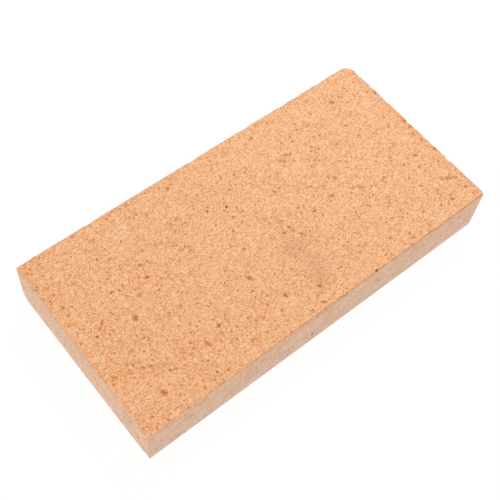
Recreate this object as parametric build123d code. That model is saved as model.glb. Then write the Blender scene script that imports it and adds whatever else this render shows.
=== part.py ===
from build123d import *
import os
from math import sin

# A thin firebrick of one fired piece, lying on its bed face.
# X runs along the length, Y across the width and Z up from the floor, with the origin under the middle.
length = 230.0
width = 114.0
thickness = 32.0

# Rounding of the four upright corners. Near is -Y, far is +Y, left is -X and right is +X.
near_left_round = 0.6
near_right_round = 0.8
far_right_round = 6.3
far_left_round = 0.7

# Rounding of the arrises that run round the top face and round the bed face.
top_arris_round = 0.4
bed_arris_round = 0.4

# Flakes lost from the ends of the upright corners beside the bed face: how far each one runs along the
# length, across the width and up the corner.
near_left_flake_along = 0.9
near_left_flake_across = 1.3
near_left_flake_height = 0.8
near_right_flake_along = 1.5
near_right_flake_across = 1.7
near_right_flake_height = 1.8
far_left_flake_along = 3.8
far_left_flake_across = 4.2
far_left_flake_height = 5.2

# The flake lost from the near right corner of the top face, measured in the same way but down the corner.
top_flake_along = 1.8
top_flake_across = 2.2
top_flake_height = 1.8

# The right end broke ragged where the clay left its mould: a row of shallow bites along its top arris.
right_bite_pitch = 6.4
right_bite_radius = 6.0
right_bite_depth = 0.36

# The long far arris is only slightly wavy.
far_bite_pitch = 13.0
far_bite_radius = 12.0
far_bite_depth = 0.42

# How unevenly the bites are spaced and how much their depths differ, as shares of pitch and depth.
bite_stagger = 0.32
bite_variation = 0.75

# Single chips on the top arrises, measured from the middle of the brick: one on the near side and five on
# the right end. The last of these is a long shallow hollow.
near_chip_along = 33.0
near_chip_radius = 1.6
near_chip_depth = 0.7
long_chip_across = 23.0
long_chip_radius = 6.5
long_chip_depth = 0.72
small_chip_across = 4.3
small_chip_radius = 2.0
small_chip_depth = 1.0
narrow_chip_across = -15.8
narrow_chip_radius = 2.2
narrow_chip_depth = 0.85
wide_chip_across = -28.0
wide_chip_radius = 3.8
wide_chip_depth = 1.05
hollow_across = 0.0
hollow_radius = 80.0
hollow_depth = 0.52

# A chip low on the left end, close to the near corner and just above the bed face.
end_chip_across = -54.5
end_chip_height = 0.5
end_chip_radius = 3.0
end_chip_depth = 0.8

left = -length / 2
right = length / 2
near = -width / 2
far = width / 2


def uneven(step, row):
    """A number from -1 to 1 that doesn't repeat along a row."""
    stretch = 2.399
    offset = 1.7
    return sin(stretch * step * step + offset * row)


def bite(place, outward, radius, depth):
    """A ball that takes a scallop of the given depth out of the sharp-edged brick at a place."""
    centre = place + outward * (radius - depth)
    return Pos(*centre) * Sphere(radius)


def bite_row(start, end, outward, pitch, radius, depth, row):
    """Scallops along an arris, unevenly spaced and unevenly deep."""
    run = end - start
    count = round(run.length / pitch)
    scallops = []
    for step in range(count):
        share = (step + 0.5 + bite_stagger * uneven(step, row)) / count
        own_depth = depth * (1 + bite_variation * uneven(step, row + 1))
        scallops.append(bite(start + run * share, outward, radius, own_depth))
    return scallops


def flake_plane(corner, inward, along, across, height):
    """The plane on which a corner broke off, facing the part that is lost.
    Inward holds the signs of X, Y and Z that lead from the corner into the brick."""
    middle = Vector(inward.X * along, inward.Y * across, inward.Z * height) / 3
    outward = Vector(-inward.X / along, -inward.Y / across, -inward.Z / height)
    return Plane(origin=corner + middle, z_dir=outward)


def blank():
    """The brick before wear: four upright corners and both rings of arrises rounded."""
    body = Box(length, width, thickness, align=(Align.CENTER, Align.CENTER, Align.MIN))
    rounds = [
        (left, near, near_left_round),
        (right, near, near_right_round),
        (right, far, far_right_round),
        (left, far, far_left_round),
    ]
    for x, y, radius in rounds:
        upright = body.edges().filter_by(Axis.Z).sort_by_distance((x, y, thickness / 2))[0]
        body = fillet(upright, radius)
    body = fillet(body.faces().sort_by(Axis.Z)[-1].edges(), top_arris_round)
    body = fillet(body.faces().sort_by(Axis.Z)[0].edges(), bed_arris_round)
    return body


def flake_off(body):
    """Break the worn corners off: three beside the bed face and one beside the top face."""
    flakes = [
        (left, near, 0, near_left_flake_along, near_left_flake_across, near_left_flake_height),
        (right, near, 0, near_right_flake_along, near_right_flake_across, near_right_flake_height),
        (left, far, 0, far_left_flake_along, far_left_flake_across, far_left_flake_height),
        (right, near, thickness, top_flake_along, top_flake_across, top_flake_height),
    ]
    for x, y, z, along, across, height in flakes:
        inward = Vector(1 if x < 0 else -1, 1 if y < 0 else -1, 1 if z == 0 else -1)
        broken = flake_plane(Vector(x, y, z), inward, along, across, height)
        body = split(body, bisect_by=broken, keep=Keep.BOTTOM)
    return body


def wear_arrises(body):
    """Scallop the ragged right arris and the wavy far one, and add the single chips."""
    left_outward = Vector(-1, 0, 0)
    right_outward = Vector(1, 0, 1).normalized()
    far_outward = Vector(0, 1, 1).normalized()
    near_outward = Vector(0, -1, 1).normalized()
    near_right = Vector(right, near + near_right_round, thickness)
    right_far = Vector(right, far - far_right_round, thickness)
    far_right = Vector(right - far_right_round, far, thickness)
    far_left = Vector(left + far_left_round, far, thickness)
    cuts = bite_row(
        near_right, right_far, right_outward, right_bite_pitch, right_bite_radius, right_bite_depth, row=1
    )
    cuts += bite_row(
        far_right, far_left, far_outward, far_bite_pitch, far_bite_radius, far_bite_depth, row=2
    )
    near_chip = Vector(near_chip_along, near, thickness)
    cuts.append(bite(near_chip, near_outward, near_chip_radius, near_chip_depth))
    end_chip = Vector(left, end_chip_across, end_chip_height)
    cuts.append(bite(end_chip, left_outward, end_chip_radius, end_chip_depth))
    ragged_chips = [
        (long_chip_across, long_chip_radius, long_chip_depth),
        (small_chip_across, small_chip_radius, small_chip_depth),
        (narrow_chip_across, narrow_chip_radius, narrow_chip_depth),
        (wide_chip_across, wide_chip_radius, wide_chip_depth),
        (hollow_across, hollow_radius, hollow_depth),
    ]
    for across, radius, depth in ragged_chips:
        cuts.append(bite(Vector(right, across, thickness), right_outward, radius, depth))
    return body - cuts


firebrick = wear_arrises(flake_off(blank()))

os.makedirs("parts", exist_ok=True)
export_step(firebrick, "parts/firebrick.step")
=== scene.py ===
import math

import bmesh
import bpy
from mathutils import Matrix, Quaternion, Vector, noise
from mathutils.bvhtree import BVHTree
from mathutils.kdtree import KDTree


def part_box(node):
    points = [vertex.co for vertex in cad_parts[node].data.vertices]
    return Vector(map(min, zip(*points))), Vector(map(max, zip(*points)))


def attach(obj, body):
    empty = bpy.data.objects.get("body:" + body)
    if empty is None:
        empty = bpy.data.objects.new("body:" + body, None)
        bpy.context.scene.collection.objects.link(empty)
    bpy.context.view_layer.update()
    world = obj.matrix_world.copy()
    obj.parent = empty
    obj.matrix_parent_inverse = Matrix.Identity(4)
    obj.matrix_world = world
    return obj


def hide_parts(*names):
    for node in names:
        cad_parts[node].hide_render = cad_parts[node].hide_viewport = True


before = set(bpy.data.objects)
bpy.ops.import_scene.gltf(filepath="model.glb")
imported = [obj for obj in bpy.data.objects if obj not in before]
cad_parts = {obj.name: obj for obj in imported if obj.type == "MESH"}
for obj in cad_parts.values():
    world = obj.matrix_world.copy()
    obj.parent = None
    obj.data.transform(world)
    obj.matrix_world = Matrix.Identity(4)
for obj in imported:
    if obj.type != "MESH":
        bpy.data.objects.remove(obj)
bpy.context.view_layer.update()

# The firebrick. It is one slab of buff fireclay and crushed grog, pressed in a steel mould and fired.
# Its bed faces are open and grainy with rusty iron spots. Its four sides have the mould's smooth pale skin.
mm = 0.001
low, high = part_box("firebrick")
middle = (low + high) / 2
half = (high - low) / 2

# The round of each upright corner, by the signs of X and Y that it lies on.
corner_rounds = {(-1, -1): 0.6 * mm, (1, -1): 0.8 * mm, (1, 1): 6.3 * mm, (-1, 1): 0.7 * mm}

# How finely the slab is divided: along and across it, up its sides, and in narrow rows beside its arrises.
# Two places less than a hair apart count as one.
bed_pitch = 1.38 * mm
row_height = 1.5 * mm
arris_rows = (0.16 * mm, 0.42 * mm, 0.85 * mm)
hair = 0.001 * mm

# The relief of an open face. The face lies deeper than the mould's wall by the sink, and rises and falls
# about that by the rise, in lumps. Each layer of lumps is finer than the last by the gap, and weaker by the
# fade. A smooth side has only a share of all this.
grain_sink = 0.10 * mm
grain_rise = 0.10 * mm
grain_lump = 4.0 * mm
grain_fade = 0.6
grain_gap = 2.0
grain_layers = 4
smooth_share = 0.25

slab = bmesh.new()
bmesh.ops.create_cube(slab, size=2)
bmesh.ops.scale(slab, verts=slab.verts, vec=half)
bmesh.ops.translate(slab, verts=slab.verts, vec=middle)


def score(axis, place):
    """Score one line right round the slab, square to an axis."""
    square = Vector([float(number == axis) for number in range(3)])
    everything = slab.verts[:] + slab.edges[:] + slab.faces[:]
    bmesh.ops.bisect_plane(slab, geom=everything, dist=hair, plane_co=square * place, plane_no=square)


def divide(axis, pitch):
    """Divide the long edges that run along an axis into steps of about the pitch."""
    shortest = 1.5 * pitch
    chosen = []
    for edge in slab.edges:
        run = edge.verts[1].co - edge.verts[0].co
        if abs(run[axis]) > shortest:
            chosen.append(edge)
    span = max(edge.calc_length() for edge in chosen)
    bmesh.ops.subdivide_edges(slab, edges=chosen, cuts=round(span / pitch) - 1, use_grid_fill=True)


for axis in range(3):
    for row in arris_rows:
        score(axis, low[axis] + row)
        score(axis, high[axis] - row)
for axis, pitch in enumerate((bed_pitch, bed_pitch, row_height)):
    divide(axis, pitch)

# The underside stays coarser, because it is hidden. Every full step above it is halved.
full_step = 0.7 * bed_pitch
halved = []
for edge in slab.edges:
    run = edge.verts[1].co - edge.verts[0].co
    level = abs(run.z) < hair
    above_bed = max(vert.co.z for vert in edge.verts) > low.z + hair
    if level and above_bed and run.length > full_step:
        halved.append(edge)
bmesh.ops.subdivide_edges(slab, edges=halved, cuts=1, use_grid_fill=True)


def round_corner(place):
    """Where a place on the square slab comes to lie when its upright corners are rounded."""
    signs = (1 if place.x > middle.x else -1, 1 if place.y > middle.y else -1)
    radius = corner_rounds[signs]
    centre = Vector((signs[0] * (half.x - radius), signs[1] * (half.y - radius))) + middle.xy
    out = place.xy - centre
    if out.x * signs[0] <= 0 or out.y * signs[1] <= 0:
        return place
    reach = max(abs(out.x), abs(out.y))
    rounded = centre + out.normalized() * reach
    return Vector((rounded.x, rounded.y, place.z))


# The worn shape itself comes from the solid: every vertex near an arris settles on the nearest point of it.
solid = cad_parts["firebrick"]
worn_shape = BVHTree.FromPolygons(
    [vert.co.copy() for vert in solid.data.vertices],
    [tuple(face.vertices) for face in solid.data.polygons],
)
arris_zone = 9 * mm
for vert in slab.verts:
    insets = sorted(min(vert.co[axis] - low[axis], high[axis] - vert.co[axis]) for axis in range(3))
    if insets[1] < arris_zone:
        vert.co = worn_shape.find_nearest(round_corner(vert.co))[0]

# The grain lies inward of that shape everywhere, and stays inside the brick's box.
slab.normal_update()
for vert in slab.verts:
    open_share = smooth_share + (1 - smooth_share) * abs(vert.normal.z)
    grain = noise.fractal(
        vert.co / grain_lump, grain_fade, grain_gap, grain_layers, noise_basis="PERLIN_ORIGINAL"
    )
    depth = (grain_sink + grain_rise * grain) * open_share
    vert.co -= vert.normal * max(depth, 0.0)
    vert.co = [min(max(part, start), end) for part, start, end in zip(vert.co, low, high)]

# Marks that stand out on the top face, in millimetres: along and across from its middle, half length,
# half width, and turn in degrees.
top_marks = {
    "rusty grog": (
        (-63.0, -36.0, 2.3, 0.9, 115), (42.5, 28.5, 2.2, 1.1, 125), (37.5, 27.5, 1.1, 1.0, 160),
        (62.0, -12.5, 2.6, 1.2, 140), (58.0, -10.5, 1.6, 0.8, 150), (54.5, 0.5, 1.3, 0.9, 115),
        (39.5, 4.5, 1.2, 0.8, 160), (106.0, -37.5, 3.2, 1.3, 155), (102.5, -35.5, 1.4, 0.7, 140),
        (109.5, -39.5, 1.5, 0.9, 120), (111.0, -3.5, 1.6, 1.0, 100), (112.0, -9.5, 1.1, 0.7, 90),
        (-95.5, -27.0, 1.5, 0.6, 110), (-92.0, -28.5, 1.8, 0.7, 110), (16.0, -15.5, 1.9, 0.6, 140),
        (12.5, -3.0, 1.2, 0.8, 145), (-74.0, 32.5, 1.4, 0.7, 25), (-48.5, 54.0, 1.0, 0.5, 145),
        (-96.0, -1.5, 1.5, 0.7, 130), (-100.5, 3.0, 1.2, 0.7, 55), (-77.5, 16.0, 1.1, 0.6, 100),
        (63.5, -54.0, 1.1, 0.7, 85), (32.5, -34.5, 0.9, 0.7, 150), (-55.5, 3.5, 0.8, 0.8, 145),
        (-61.0, -11.0, 0.8, 0.6, 145), (-59.5, 7.5, 0.9, 0.6, 80), (-82.5, -20.5, 1.4, 0.5, 70),
        (-83.5, -37.0, 1.2, 0.6, 155), (-75.5, -32.5, 0.9, 0.6, 145), (-110.0, -22.5, 1.7, 1.0, 120),
        (-102.0, -24.0, 1.0, 0.8, 145), (-90.0, -49.0, 0.8, 0.7, 80), (-78.5, -53.5, 1.0, 0.9, 140),
        (-44.0, -47.5, 1.0, 0.8, 130), (53.0, -46.5, 0.9, 0.7, 80), (57.5, -25.0, 1.1, 0.6, 125),
        (-74.0, 6.5, 1.3, 0.9, 10), (-61.0, -42.5, 0.8, 0.6, 145), (72.5, 42.5, 0.9, 0.7, 5),
        (10.5, 52.0, 0.9, 0.7, 5), (30.5, 21.5, 1.0, 0.7, 0), (89.5, -32.0, 1.5, 0.6, 145),
        (75.0, -34.5, 0.9, 0.7, 0), (-107.0, -50.0, 1.0, 0.7, 140), (-102.0, -55.5, 0.9, 0.7, 145),
        (-96.5, 32.0, 0.8, 0.7, 5), (-108.0, 32.0, 0.8, 0.7, 5), (-104.5, 4.5, 0.8, 0.7, 0),
    ),
    "iron spots": (
        (-83.0, -3.0, 1.9, 1.2, 60), (-95.5, -43.5, 1.9, 1.4, 125), (-65.0, 12.5, 1.4, 0.9, 160),
        (-63.5, 20.5, 1.2, 0.8, 175), (-108.5, 23.5, 1.0, 0.8, 110), (-86.0, -36.0, 0.9, 0.7, 140),
        (-14.5, -4.5, 1.2, 0.9, 145), (-1.5, -53.5, 1.4, 0.6, 145), (3.0, -45.0, 1.5, 0.8, 120),
        (13.5, -11.0, 1.4, 0.6, 130), (13.5, -8.5, 1.2, 0.8, 130), (21.5, 13.5, 1.1, 0.6, 120),
        (25.0, -2.0, 1.2, 0.6, 0), (31.0, -9.0, 1.2, 0.9, 175), (45.0, -7.0, 1.1, 0.7, 125),
        (45.0, 28.0, 0.8, 0.7, 170), (-63.5, -53.0, 0.7, 0.6, 145), (-24.0, 50.0, 1.4, 0.8, 55),
        (88.0, 41.5, 1.8, 1.3, 165), (98.0, -49.0, 1.2, 0.8, 160), (76.5, -15.5, 0.9, 0.6, 0),
        (113.8, 32.0, 1.3, 0.7, 90), (113.6, 6.5, 1.2, 0.7, 90), (113.6, 1.5, 1.6, 0.6, 90),
        (113.8, -18.8, 1.2, 0.7, 90),
    ),
    "brown grains": (
        (-52.5, -31.5, 1.3, 1.1, 45), (-68.5, -50.5, 0.7, 0.6, 145), (92.0, -16.0, 1.0, 0.7, 0),
        (-84.0, 16.0, 0.9, 0.7, 0), (-80.5, 14.5, 1.0, 0.5, 95), (-98.5, 4.5, 0.9, 0.8, 120),
        (-12.0, 7.5, 0.8, 0.6, 115), (34.0, 49.0, 0.8, 0.7, 40), (51.5, 33.5, 1.0, 0.6, 145),
        (-11.0, -25.5, 0.9, 0.7, 45), (9.0, -10.0, 1.4, 0.4, 95), (110.0, -47.5, 1.2, 0.7, 5),
        (83.5, 24.0, 0.8, 0.7, 135), (-70.0, -57.0, 2.0, 0.5, 0), (-23.0, -20.0, 1.6, 1.2, 130),
        (-14.5, -38.5, 1.2, 1.0, 170), (103.0, 9.0, 0.8, 0.6, 0), (-68.5, -43.0, 0.7, 0.6, 0),
    ),
    # The black marks are slag, except the one at 33 along on the near arris, which is painted shade in the
    # chip there.
    "black slag and painted shade": (
        (-5.5, 21.5, 1.0, 0.8, 45), (-15.5, 25.5, 0.8, 0.6, 10), (101.5, -15.0, 0.9, 0.8, 140),
        (-104.0, 0.0, 0.8, 0.7, 85), (33.0, -56.6, 0.9, 0.8, 0),
    ),
    "pale chips": (
        (65.0, -9.5, 1.2, 0.8, 160), (101.0, -37.0, 1.3, 0.4, 145), (-57.0, 44.0, 1.4, 0.9, 170),
    ),
}

# The few marks on the near side: along from its middle, up from the bed face, and the rest as on the top.
near_marks = {
    "black slag and painted shade": ((-8.5, 8.0, 0.7, 1.2, 0),),
    "ash specks": (
        (-44.0, 23.0, 0.8, 1.3, 0), (35.5, 20.0, 1.4, 1.0, 10), (99.0, 22.0, 2.8, 0.9, 30),
        (-107.5, 14.5, 0.8, 1.0, 0), (-88.5, 19.0, 1.2, 1.0, 0), (-53.5, 19.0, 0.7, 0.9, 0),
        (-48.0, 19.5, 0.8, 0.8, 0),
    ),
    "rusty grog": ((-2.0, 30.0, 1.0, 0.8, 0), (11.0, 30.2, 1.0, 0.8, 0), (-8.5, 30.5, 0.9, 0.7, 0)),
}

# And on the left end: towards its near corner from the middle, and up from the bed face.
end_marks = {
    "ash specks": (
        (37.0, 17.5, 0.9, 1.5, 0), (38.0, 25.5, 1.3, 1.2, 0), (42.5, 22.5, 1.5, 1.3, 20),
        (47.5, 11.5, 1.0, 1.5, 0), (34.0, 5.5, 0.8, 1.2, 0), (-16.5, 9.0, 0.9, 1.3, 0),
    ),
}


def colour(red, green, blue):
    """A colour measured on a screen from 0 to 255, as the light that it stands for."""
    screen_curve = 2.2
    return tuple(round((part / 255) ** screen_curve, 4) for part in (red, green, blue)) + (1,)


# The colours of all the kinds of marks.
mark_colours = {
    "rusty grog": colour(214, 128, 68),
    "iron spots": colour(189, 100, 46),
    "brown grains": colour(172, 90, 34),
    "black slag and painted shade": colour(80, 30, 4),
    "pale chips": colour(255, 218, 176),
    "ash specks": colour(187, 143, 113),
}
mark_kinds = list(mark_colours)

# Each face near a mark keeps, at its corners, how far they lie from the mark's middle, in half lengths and
# in half widths, and the number of its kind. Away from all marks both distances are large.
stamp = slab.loops.layers.float_vector.new("stamp")
unmarked = (9.0, 9.0, 0)
for face in slab.faces:
    for loop in face.loops:
        loop[stamp] = unmarked
slab.faces.ensure_lookup_table()
finder = KDTree(len(slab.faces))
for face in slab.faces:
    finder.insert(face.calc_center_median(), face.index)
finder.balance()


def stamp_mark(kind, centre, sideways, onward, half_length, half_width, turn):
    """Stamp one mark on the faces round its centre, unless they lie deeper in another one or face away.
    Sideways and onward are the directions on its face that its two places are measured in."""
    outward = sideways.cross(onward)
    ahead = (sideways * math.cos(turn) + onward * math.sin(turn)) / half_length
    aside = (onward * math.cos(turn) - sideways * math.sin(turn)) / half_width
    least_facing = 0.3
    for place, index, distance in finder.find_range(centre, 2 * half_length + bed_pitch):
        face = slab.faces[index]
        own = Vector(((place - centre).dot(ahead), (place - centre).dot(aside))).length
        other = sum((loop[stamp].xy for loop in face.loops), Vector((0, 0))).length / len(face.loops)
        if own < other and face.normal.dot(outward) > least_facing:
            for loop in face.loops:
                away = loop.vert.co - centre
                loop[stamp] = (away.dot(ahead), away.dot(aside), mark_kinds.index(kind))


# The marks are measured from the middle of the top face and from the middle of the foot of a side, each in
# two directions.
rightward = Vector((1, 0, 0))
farward = Vector((0, 1, 0))
upward = Vector((0, 0, 1))
top_middle = Vector((middle.x, middle.y, high.z - grain_sink))
near_foot = Vector((middle.x, low.y + smooth_share * grain_sink, low.z))
left_foot = Vector((low.x + smooth_share * grain_sink, middle.y, low.z))
marked_faces = (
    (top_marks, top_middle, rightward, farward),
    (near_marks, near_foot, rightward, upward),
    (end_marks, left_foot, -farward, upward),
)
for face_marks, origin, sideways, onward in marked_faces:
    for kind, marks in face_marks.items():
        for side_place, onward_place, half_length, half_width, turn in marks:
            centre = origin + (sideways * side_place + onward * onward_place) * mm
            half_sizes = (half_length * mm, half_width * mm)
            stamp_mark(kind, centre, sideways, onward, *half_sizes, math.radians(turn))


def set_down(name, shape):
    """Make a finished shape a piece of the scene."""
    mesh = bpy.data.meshes.new(name)
    shape.to_mesh(mesh)
    shape.free()
    piece = bpy.data.objects.new(name, mesh)
    bpy.context.scene.collection.objects.link(piece)
    return piece


for face in slab.faces:
    face.smooth = True
slab.normal_update()
brick = set_down("fired_slab", slab)


def set_stops(ramp, stops, banded):
    """Give a new ramp its colours, from stops in rising order. Bands don't blend."""
    ramp.interpolation = "CONSTANT" if banded else "LINEAR"
    ramp.elements.remove(ramp.elements[1])
    for number, (place, shade) in enumerate(stops):
        element = ramp.elements.new(place) if number else ramp.elements[0]
        element.position = place
        element.color = shade


class Socket:
    """One socket of a node tree. Sums and products of sockets add the Math nodes that work them out."""

    def __init__(self, tree, socket=None):
        self.tree = tree
        self.socket = socket

    def node(self, kind, settings=None, values=None, give=0):
        """Add a node, make its settings, fill its sockets and give one output, or several as a tuple."""
        made = self.tree.nodes.new("ShaderNode" + kind)
        for name, value in (settings or {}).items():
            if name == "stops":
                set_stops(made.color_ramp, *value)
            else:
                setattr(made, name, value)
        for name, value in (values or {}).items():
            if isinstance(value, Socket):
                self.tree.links.new(value.socket, made.inputs[name])
            else:
                made.inputs[name].default_value = value
        if isinstance(give, tuple):
            return tuple(Socket(self.tree, made.outputs[name]) for name in give)
        return Socket(self.tree, made.outputs[give])

    def maths(self, operation, first, second=0.0):
        """Work out one number from one or two others."""
        return self.node("Math", {"operation": operation}, {0: first, 1: second})

    def __add__(self, other):
        return self.maths("ADD", self, other)

    def __radd__(self, other):
        return self.maths("ADD", other, self)

    def __sub__(self, other):
        return self.maths("SUBTRACT", self, other)

    def __rsub__(self, other):
        return self.maths("SUBTRACT", other, self)

    def __mul__(self, other):
        return self.maths("MULTIPLY", self, other)

    def __rmul__(self, other):
        return self.maths("MULTIPLY", other, self)

    def __abs__(self):
        return self.maths("ABSOLUTE", self)

    def least(self, other):
        return self.maths("MINIMUM", self, other)

    def most(self, other):
        return self.maths("MAXIMUM", self, other)

    def step(self, start, end):
        """0 below start, 1 above end, and smooth between them. It falls where start is above end."""
        settings = {"interpolation_type": "SMOOTHSTEP"}
        return self.node("MapRange", settings, {"Value": self, "From Min": start, "From Max": end})

    def ramp(self, *stops, banded=False):
        """The colour that this number gives."""
        return self.node("ValToRGB", {"stops": (stops, banded)}, {"Fac": self})

    def blend(self, way, factor, first, second):
        """Two colours put together. A Mix node takes them in sockets 6 and 7, and gives one in socket 2."""
        settings = {"data_type": "RGBA", "blend_type": way}
        return self.node("Mix", settings, {0: factor, 6: first, 7: second}, give=2)

    def mix(self, none, full):
        """The first colour where this mask is 0 and the second where it is 1."""
        return self.blend("MIX", self, none, full)

    def tinted(self, tint):
        """This colour, multiplied by another."""
        return self.blend("MULTIPLY", 1.0, self, tint)

    def parts(self):
        """The three numbers of this vector."""
        return self.node("SeparateXYZ", None, {0: self}, give=(0, 1, 2))

    def vectors(self, operation, *terms, give=0):
        """Work out one vector, or its length, from up to three others."""
        return self.node("VectorMath", {"operation": operation}, dict(enumerate(terms)), give)

    def length(self):
        return self.vectors("LENGTH", self, give="Value")

    def pushed(self, push, by):
        """This place, pushed about by a vector times a length."""
        return self.vectors("MULTIPLY_ADD", by, (push,) * 3, self)

    def tint(self, spread):
        """A tint about white that follows this number, or three of them, by a spread in each colour."""
        return self.vectors("MULTIPLY_ADD", self, spread, (1, 1, 1))

    def seen_from(self, where=(0, 0, 0), turn=0.0, sizes=(1, 1, 1)):
        """This place, measured from another one, turned about Z and divided by sizes."""
        values = {"Vector": self, "Location": where, "Rotation": (0, 0, turn), "Scale": sizes}
        return self.node("Mapping", {"vector_type": "TEXTURE"}, values)

    def astray(self, size, detail=1.0):
        """A vector of three numbers about zero that wander with this place, in soft lumps of a size."""
        values = {"Vector": self, "Scale": 1 / size, "Detail": detail, "Roughness": 0.6}
        wandering = self.node("TexNoise", None, values, give=1)
        return self.vectors("SUBTRACT", wandering, (0.5, 0.5, 0.5))

    def soft(self, size, detail=2.0, roughness=0.5, shift=0.0):
        """Soft noise about zero at this place, with lumps of a size. Each shift gives other lumps."""
        moved = self.seen_from(where=(shift, shift, shift))
        values = {"Vector": moved, "Scale": 1 / size, "Detail": detail, "Roughness": roughness}
        return self.node("TexNoise", None, values) - 0.5

    def cells(self, size, shift=0.0, turn=0.0, stretch=1.0):
        """Cells of a size: the distance from each one's middle, and three numbers drawn for each."""
        moved = self.seen_from((shift, shift, 0), turn, (stretch, 1, 1))
        distance, drawn = self.node("TexVoronoi", None, {"Vector": moved, "Scale": 1 / size}, give=(0, 1))
        return distance, *self.node("SeparateColor", None, {0: drawn}, give=(0, 1, 2))


def specks(place, size, share, radii, shift, turn=0.0, stretch=1.0):
    """Specks in a share of the cells of a size, with radii from least to most as shares of a cell.
    It gives where they are, and a tone that differs from one to the next."""
    least, most = radii
    soft_rim = 0.10
    soft_choice = 0.02
    distance, chance, girth, tone = place.cells(size, shift, turn, stretch)
    rim = girth * (most - least) + least - distance
    return rim.step(0.0, soft_rim) * (share - chance).step(0.0, soft_choice), tone


def strewn(ground, found, faintest, spread, shade):
    """The ground with specks strewn over it. Each is as strong as its own tone makes it."""
    spots, tone = found
    return (spots * (faintest + spread * tone)).mix(ground, shade)


# Smoke-grey patches on the top face, in millimetres: where each lies and how far it reaches.
smoky_patches = (((6.5, -20.0), 5.5), ((11.0, -33.0), 5.5), ((7.0, -43.0), 4.5))
smoke_strength = 0.38

# The bed faces are a little browner in a strip along their right end.
brown_strip = 9 * mm


def open_grain(place):
    """Sandy buff clay, patched with cream and orange, with rusty grog. It gives colour and height."""
    along, across = place.parts()[:2]
    wander = place.astray(1.3 * mm)

    # The clay runs from rusty to cream, in grains of sand over soft lumps of three sizes.
    sand = place.pushed(0.2 * mm, wander).cells(0.62 * mm)[1] - 0.5
    fine = place.soft(1.0 * mm, detail=1.0)
    middling = place.soft(3.0 * mm, shift=0.3)
    broad = place.soft(12 * mm, detail=3.0, roughness=0.55, shift=0.7)
    level = 0.625 + sand * 0.45 + fine * 0.34 + middling * 0.37 + broad * 0.24
    ground = level.ramp(
        (0.00, colour(204, 112, 56)),
        (0.34, colour(234, 155, 98)),
        (0.62, colour(247, 185, 135)),
        (1.00, colour(255, 203, 160)),
    )

    # The clay varies in hue as well: from grain to grain, and in yellow, rosy and mixed clouds.
    yellow = place.soft(4.5 * mm, detail=3.0, roughness=0.6, shift=1.1)
    rosy = place.soft(3.6 * mm, detail=3.0, roughness=0.6, shift=3.1)
    ground = ground.tinted((sand * 0.25 + fine * 0.14).tint((0.75, 1.0, 1.3)))
    ground = ground.tinted(yellow.tint((0.04, 0.20, 0.60)))
    ground = ground.tinted(rosy.tint((0.18, -0.06, -0.23)))
    ground = ground.tinted(place.astray(4.0 * mm, detail=2.0).tint((0.08, 0.10, 0.16)))

    # Painted light and sheen: the clay is coloured darker towards the near left corner and paler towards
    # the far right one.
    painted_light_falloff = (along * (0.38 / half.x) + across * (0.12 / half.y) + 0.5).step(0.0, 1.0)
    ground = ground.tinted(painted_light_falloff.mix((0.98, 0.955, 0.93, 1), (1.0, 1.022, 1.04, 1)))
    ground = ground.tinted(along.step(half.x - brown_strip, half.x).tint((-0.03, -0.07, -0.10)))

    # Pale flecks, orange dust, rusty grit and a few dark pips. The dust and the grit are thicker in places.
    stirred = place.pushed(1.6 * mm, wander)
    thick = place.soft(16 * mm, shift=2.3)
    flecks = specks(stirred, 5.0 * mm, 0.20, (0.12, 0.32), shift=1.6, turn=0.9, stretch=1.4)
    dust = specks(stirred, 1.9 * mm, 0.50 + thick * 2.4, (0.16, 0.40), shift=0.2, turn=0.6, stretch=1.3)
    grit = specks(stirred, 3.4 * mm, 0.34 + thick * 2.2, (0.12, 0.27), shift=0.5, turn=2.1, stretch=1.5)
    pips = specks(stirred, 6.0 * mm, 0.20, (0.05, 0.10), shift=0.9)
    grit_spots, grit_tone = grit
    rust = grit_tone.mix(colour(224, 134, 72), colour(190, 102, 52))
    ground = strewn(ground, flecks, 0.15, 0.40, colour(253, 216, 176))
    ground = strewn(ground, dust, 0.32, 0.68, colour(209, 118, 62))
    ground = strewn(ground, grit, 0.42, 0.50, rust)
    ground = strewn(ground, pips, 0.30, 0.50, colour(160, 94, 50))

    for (patch_along, patch_across), reach in smoky_patches:
        where = (patch_along * mm, patch_across * mm, high.z)
        smoke = 1 - place.seen_from(where, sizes=(reach * mm,) * 3).length()
        shown = smoke_strength * (smoke + middling).step(-0.9, 0.7)
        ground = shown.mix(ground, colour(206, 148, 108))

    relief = fine * 0.5 + middling * 0.8 - grit_spots * 0.2
    return ground, relief


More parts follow.
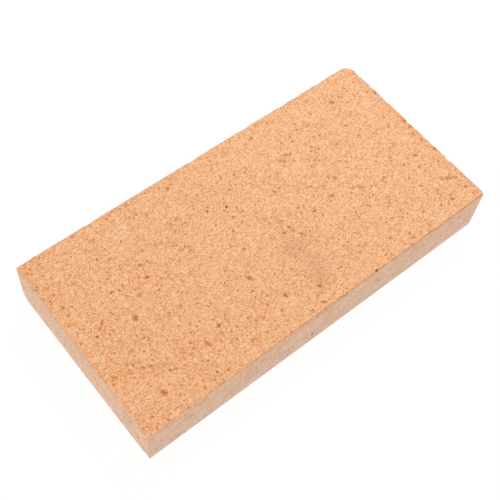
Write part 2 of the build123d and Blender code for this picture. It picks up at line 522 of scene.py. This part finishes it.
def mould_skin(place):
    """Fine pale clay, smoothed and faintly streaked by the mould. It gives colour and height."""
    along, across, height = place.parts()

    # Level streaks are drawn out along each side. The two ends are less streaked and patched, and grainier.
    end = abs(along).step(half.x - 1.0 * mm, half.x - 0.5 * mm)
    drawn = place.node("CombineXYZ", None, {"X": (along + across) * 0.12, "Z": height})
    streaks = drawn.soft(1.6 * mm, roughness=0.6, shift=0.1)
    patches = place.soft(9.0 * mm, shift=0.6)
    fine = place.seen_from(sizes=(1, 1, 1.4)).soft(1.15 * mm, detail=3.0, roughness=0.75, shift=0.8)
    tone = 0.5 + streaks * (0.6 - 0.3 * end) + patches * (0.8 - 0.4 * end) + fine * (2.1 + 0.4 * end)
    skin = tone.ramp(
        (0.0, colour(209, 160, 128)),
        (0.5, colour(236, 193, 161)),
        (1.0, colour(255, 222, 194)),
    )
    warmth = place.soft(6.0 * mm, roughness=0.6, shift=2.3) * (1 + 0.3 * end)
    skin = skin.tinted(warmth.tint((0.26, -0.06, -0.24)))
    skin = skin.tinted(place.astray(6.0 * mm, detail=2.0).tint((0.10, 0.12, 0.40)))

    # It is browner towards the top, less so on the ends, and paler towards the bed face.
    upper = (0.7 - 0.35 * end) * height.step(high.z - 9 * mm, high.z)
    lower = height.step(low.z + 17 * mm, low.z)
    skin = skin.tinted(upper.tint((0.01, -0.14, -0.29)))
    skin = skin.tinted(lower.tint((0.0, 0.055, 0.16)))
    dots = specks(place, 7.0 * mm, 0.10, (0.06, 0.12), shift=0.4)
    skin = strewn(skin, dots, 0.0, 0.35, colour(170, 130, 110))
    return skin, streaks * 0.3 + fine * 0.2


def marked_clay(place, surface):
    """The surface with its stamped marks, each with a ragged rim and an uneven colour."""
    stamped = place.node("Attribute", {"attribute_name": "stamp"}, give="Vector")
    kind = stamped.parts()[2]
    flat = stamped.vectors("MULTIPLY", stamped, (1, 1, 0))
    mark = (1 - flat.pushed(2.0, place.astray(1.3 * mm)).length()).step(-0.45, 0.45)
    count = len(mark_colours)
    stops = [(number / count, shade) for number, shade in enumerate(mark_colours.values())]
    shade = ((kind + 0.5) * (1 / count)).ramp(*stops, banded=True)
    strength = 0.82 + place.soft(0.8 * mm, detail=1.0, shift=1.9) * 1.3
    return (strength * mark).mix(surface, shade)


def worn_and_shaded_arrises(place, surface):
    """The surface with its arrises rubbed grey, and a dark brown line of painted shade along the near top
    one.
    """
    along, across, height = place.parts()
    from_end = half.x - abs(along)
    from_side = half.y - abs(across)
    from_bed = (high.z - height).least(height - low.z)
    from_arris = from_end.least(from_side).most(from_end.most(from_side).least(from_bed))
    broken = (0.75 + place.soft(2.4 * mm, detail=3.0, roughness=0.6, shift=2.7) * 1.6).least(1.0)

    # The rubbing fades out a millimetre from an arris, the painted shade sooner. The painted shade is
    # darker on the right.
    rubbing = 0.36
    near_top = (high.z - height + across - low.y).step(2.2 * mm, 1.6 * mm)
    rubbed = from_arris.step(1.0 * mm, 0.3 * mm) * rubbing * (1 - near_top) * broken
    rightwards = 0.10 + 0.66 * along.step(-100 * mm, 20 * mm)
    painted_arris_shade = from_arris.step(0.75 * mm, 0.15 * mm) * near_top * rightwards * broken
    return painted_arris_shade.mix(rubbed.mix(surface, colour(182, 164, 158)), colour(150, 98, 66))


def cleared(owner):
    """The empty node tree of a new material or world, to add the first node to."""
    owner.use_nodes = True
    owner.node_tree.nodes.clear()
    return Socket(owner.node_tree)


def fired_clay():
    """The open grain shows on the bed faces and wherever the mould's skin has chipped off the sides."""
    material = bpy.data.materials.new("fired_clay")
    clay = cleared(material)
    place = clay.node("TexCoord", give="Object")
    along, across, height = place.parts()
    ragged = place.soft(3.0 * mm, roughness=0.6, shift=0.5)

    # The skin starts a little way below the arrises, and a chip that goes deeper than the skin shows grain.
    skin_start = 0.45 * mm
    skin_full = 0.75 * mm
    ragged_height = height + ragged * 1.2 * mm
    top = ragged_height.step(high.z - skin_full, high.z - skin_start)
    bed = ragged_height.step(low.z + skin_full, low.z + skin_start)
    shallow_chip = 0.35 * mm
    deep_chip = 0.60 * mm
    inset = (half.x - abs(along)).least(half.y - abs(across)) + ragged * 0.7 * mm
    chipped = inset.step(shallow_chip, deep_chip)
    bare = top.most(bed).most(chipped)
    grain, grain_relief = open_grain(place)
    skin, skin_relief = mould_skin(place)
    shown = worn_and_shaded_arrises(place, marked_clay(place, bare.mix(skin, grain)))
    relief = bare * grain_relief + (1 - bare) * skin_relief
    bump = clay.node("Bump", None, {"Height": relief, "Strength": 0.3, "Distance": 0.3 * mm})
    surface = clay.node("BsdfPrincipled", None, {
        "Base Color": shown, "Roughness": 0.75, "Specular IOR Level": 0.4, "Normal": bump,
    })
    clay.node("OutputMaterial", None, {"Surface": surface}, give=())
    return material


brick.data.materials.append(fired_clay())
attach(brick, "root")
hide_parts("firebrick")

# The floor. It is a wide sheet of white paper that the brick lies loose on. A viewer sees it bright white
# with a soft shadow, and to the brick it is plain paper that throws light up.
floor_reach = 4.0
paper_white = 0.8
seen_white = 0.22
seen_glow = 0.82
floor_sheet = bmesh.new()
bmesh.ops.create_grid(floor_sheet, x_segments=1, y_segments=1, size=floor_reach)
bmesh.ops.translate(floor_sheet, verts=floor_sheet.verts, vec=(0, 0, low.z))
floor = set_down("floor", floor_sheet)


def grey(level):
    """A grey from black at 0 to white at 1."""
    return (level, level, level, 1)


def in_view(start):
    """1 for rays that reach a viewer, straight, mirrored or through glass, and 0 for all others."""
    ways = ("Is Camera Ray", "Is Glossy Ray", "Is Transmission Ray")
    straight, mirrored, through = start.node("LightPath", give=ways)
    return straight + mirrored + through


def white_sheet():
    """White paper, plain to the brick and bright to a viewer."""
    material = bpy.data.materials.new("white_sheet")
    paper = cleared(material)
    plain = paper.node("BsdfDiffuse", None, {"Color": grey(paper_white)})
    shade = paper.node("BsdfDiffuse", None, {"Color": grey(seen_white)})
    glow = paper.node("Emission", None, {"Color": grey(1), "Strength": seen_glow})
    bright = paper.node("AddShader", None, {0: shade, 1: glow})
    surface = paper.node("MixShader", None, {0: in_view(paper), 1: plain, 2: bright})
    paper.node("OutputMaterial", None, {"Surface": surface}, give=())
    return material


floor.data.materials.append(white_sheet())

# The light. It is a white room with one large softbox high up to the near left of the brick, and a small
# lamp to its far right that fills the shadows. A viewer sees the room's walls pure white.
room_light = 0.53
seen_light = 1.0
room = bpy.data.worlds.new("white_room")
bpy.context.scene.world = room
air = cleared(room)
lighting_wall = air.node("Background", None, {"Color": grey(1), "Strength": room_light})
seen_wall = air.node("Background", None, {"Color": grey(1), "Strength": seen_light})
walls = air.node("MixShader", None, {0: in_view(air), 1: lighting_wall, 2: seen_wall})
air.node("OutputWorld", None, {"Surface": walls}, give=())


def hang_lamp(name, place, size, power):
    """Hang a square lamp that faces the brick. The camera doesn't see it."""
    data = bpy.data.lights.new(name, "AREA")
    data.shape = "SQUARE"
    data.size = size
    data.energy = power
    lamp = bpy.data.objects.new(name, data)
    lamp.location = place
    lamp.rotation_mode = "QUATERNION"
    lamp.rotation_quaternion = (middle - place).to_track_quat("-Z", "Y")
    lamp.visible_camera = False
    bpy.context.scene.collection.objects.link(lamp)


hang_lamp("softbox", Vector((-4.2, -2.9, 5.0)), size=4.4, power=225.0)
hang_lamp("fill_lamp", Vector((0.42, 0.26, 0.55)), size=0.3, power=1.0)

# The camera. It looks down on the near left corner from where the photograph was taken, with a long lens
# and slightly rolled, so that the brick lies slanting across the picture.
eye = Vector((-0.1940, -0.1844, 0.4676))
aim = Vector((-0.00573, -0.00036, 0.016))
roll = math.radians(7.58)
sensor_width = 36
view_lens = 69.11
camera_data = bpy.data.cameras.new("camera")
camera_data.sensor_width = sensor_width
camera_data.lens = view_lens
camera = bpy.data.objects.new("camera", camera_data)
camera.location = eye
camera.rotation_mode = "QUATERNION"
camera.rotation_quaternion = (aim - eye).to_track_quat("-Z", "Y") @ Quaternion((0, 0, 1), roll)
bpy.context.scene.collection.objects.link(camera)
bpy.context.scene.camera = camera
bpy.context.scene.view_settings.view_transform = "Standard"
